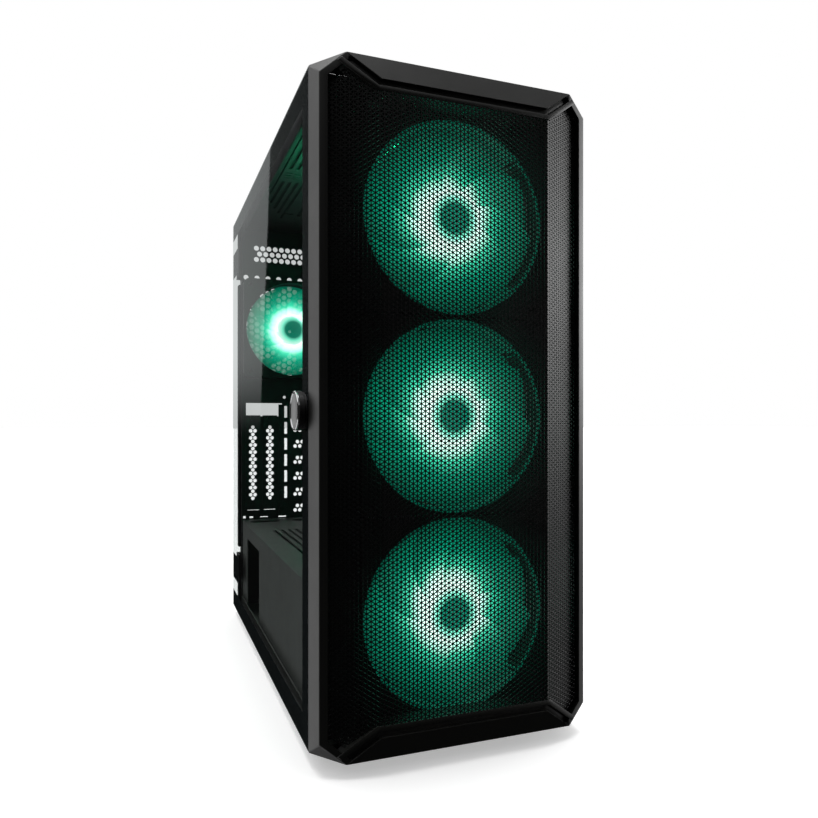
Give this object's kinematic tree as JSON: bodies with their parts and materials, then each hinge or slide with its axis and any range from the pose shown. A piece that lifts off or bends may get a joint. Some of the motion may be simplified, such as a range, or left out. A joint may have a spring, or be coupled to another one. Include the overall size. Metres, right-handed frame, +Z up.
{
  "type": "desktop computer tower",
  "caption": "Black tower computer with a folded mesh front over glowing fans, a hinged glass side door, a power supply, a main board and drives.",
  "frame": {"origin": "on the floor, under the middle of the outline with the door knob", "axes": "+Z up, -Y out of the mesh front, -X out of the glass door"},
  "size_m": [0.215, 0.464, 0.48],
  "materials": {
    "black_steel": "satin",
    "bezel_plastic": "satin",
    "mesh_steel": "satin",
    "black_plastic": "matte",
    "fan_frame_plastic": "matte",
    "fan_blade_glow": "translucent",
    "tinted_glass": "gloss",
    "bright_metal": "gloss",
    "zinc_screw": "satin",
    "black_screw": "satin",
    "brass": "satin",
    "rubber": "matte",
    "board_laminate": "satin",
    "heatsink_aluminium": "satin",
    "filter_mesh": "matte",
    "drive_metal": "satin",
    "port_metal": "satin"
  },
  "bodies": {
    "chassis": {"bottom_tray": "black_steel", "top_panel": "black_steel", "io_bar": "black_plastic", "port_sockets": "port_metal", "rear_panel": "black_steel", "front_left_rail": "black_steel", "front_right_rail": "black_steel", "motherboard_tray": "black_steel", "cable_grommets": "rubber", "psu_shroud": "black_steel", "drive_cage": "black_steel", "drive_trays": "black_plastic", "hard_drive": "drive_metal", "solid_state_drive": "drive_metal", "rear_fan_frame": "fan_frame_plastic", "fan_screws": "black_screw", "slot_covers": "black_steel", "upright_slot_covers": "black_steel", "case_screws": "zinc_screw", "psu_housing": "black_steel", "psu_inlet": "black_plastic", "main_board": "board_laminate", "standoffs": "brass", "io_shield": "port_metal", "board_ports": "port_metal", "cpu_heatsink": "heatsink_aluminium", "cpu_fan_frame": "fan_frame_plastic", "memory_modules": "black_plastic", "board_sockets": "black_plastic", "hinge_frame_leaves": "black_steel", "hinge_pins": "zinc_screw", "door_magnets": "bright_metal", "feet": "black_plastic", "foot_pads": "rubber", "front_fan_lower_frame": "fan_frame_plastic", "front_fan_middle_frame": "fan_frame_plastic", "front_fan_upper_frame": "fan_frame_plastic"},
    "door": {"glass_door": "tinted_glass", "door_knob": "bezel_plastic", "knob_rim": "bright_metal", "knob_screw": "black_screw", "hinge_door_leaves": "black_steel", "door_strikes": "zinc_screw"},
    "front_cover": {"front_bezel": "bezel_plastic", "front_mesh": "mesh_steel", "top_visor": "bezel_plastic", "bottom_visor": "bezel_plastic"},
    "side_panel": {"right_side_panel": "black_steel", "thumb_screws": "black_screw"},
    "top_filter": {"top_filter": "filter_mesh"},
    "psu_filter": {"psu_filter": "filter_mesh"},
    "power_button": {"power_button": "black_plastic"},
    "reset_button": {"reset_button": "black_plastic"},
    "psu_switch": {"psu_switch": "black_plastic"},
    "psu_fan": {"psu_fan_rotor": "black_plastic"},
    "cpu_fan": {"cpu_fan_rotor": "black_plastic"},
    "rear_fan": {"rear_fan_rotor": "fan_blade_glow"},
    "front_fan_lower": {"front_fan_lower_rotor": "fan_blade_glow"},
    "front_fan_middle": {"front_fan_middle_rotor": "fan_blade_glow"},
    "front_fan_upper": {"front_fan_upper_rotor": "fan_blade_glow"}
  },
  "joints": [
    {"name": "door_hinge", "type": "hinge", "parent": "chassis", "child": "door", "pos_m": [-0.0935, 0.2265, 0.244], "axis": [0, 0, -1], "range_deg": [0, 110]},
    {"name": "front_cover_pull", "type": "slide", "parent": "chassis", "child": "front_cover", "axis": [0, -1, 0], "range_m": [0, 0.04]},
    {"name": "side_panel_slide", "type": "slide", "parent": "chassis", "child": "side_panel", "axis": [0, 1, 0], "range_m": [0, 0.02]},
    {"name": "top_filter_lift", "type": "slide", "parent": "chassis", "child": "top_filter", "axis": [0, 0, 1], "range_m": [0, 0.03]},
    {"name": "psu_filter_slide", "type": "slide", "parent": "chassis", "child": "psu_filter", "axis": [0, 1, 0], "range_m": [0, 0.12]},
    {"name": "power_button_press", "type": "slide", "parent": "chassis", "child": "power_button", "axis": [0, 0, -1], "range_m": [0, 0.001], "stiffness_N_per_m": 600, "springref_m": -0.001},
    {"name": "reset_button_press", "type": "slide", "parent": "chassis", "child": "reset_button", "axis": [0, 0, -1], "range_m": [0, 0.001], "stiffness_N_per_m": 400, "springref_m": -0.001},
    {"name": "psu_switch_rock", "type": "hinge", "parent": "chassis", "child": "psu_switch", "pos_m": [0.0275, 0.2156, 0.04], "axis": [0, 0, 1], "range_deg": [-8, 8]},
    {"name": "psu_fan_spin", "type": "hinge", "parent": "chassis", "child": "psu_fan", "pos_m": [0.0165, 0.1496, 0.02], "axis": [0, 0, 1], "continuous": true},
    {"name": "cpu_fan_spin", "type": "hinge", "parent": "chassis", "child": "cpu_fan", "pos_m": [0.0319, 0.14, 0.35], "axis": [1, 0, 0], "continuous": true},
    {"name": "rear_fan_spin", "type": "hinge", "parent": "chassis", "child": "rear_fan", "pos_m": [-0.032, 0.2071, 0.35], "axis": [0, 1, 0], "continuous": true},
    {"name": "front_fan_lower_spin", "type": "hinge", "parent": "chassis", "child": "front_fan_lower", "pos_m": [0.0035, -0.1975, 0.097], "axis": [0, 1, 0], "continuous": true},
    {"name": "front_fan_middle_spin", "type": "hinge", "parent": "chassis", "child": "front_fan_middle", "pos_m": [0.0035, -0.1975, 0.2395], "axis": [0, 1, 0], "continuous": true},
    {"name": "front_fan_upper_spin", "type": "hinge", "parent": "chassis", "child": "front_fan_upper", "pos_m": [0.0035, -0.1975, 0.382], "axis": [0, 1, 0], "continuous": true}
  ]
}
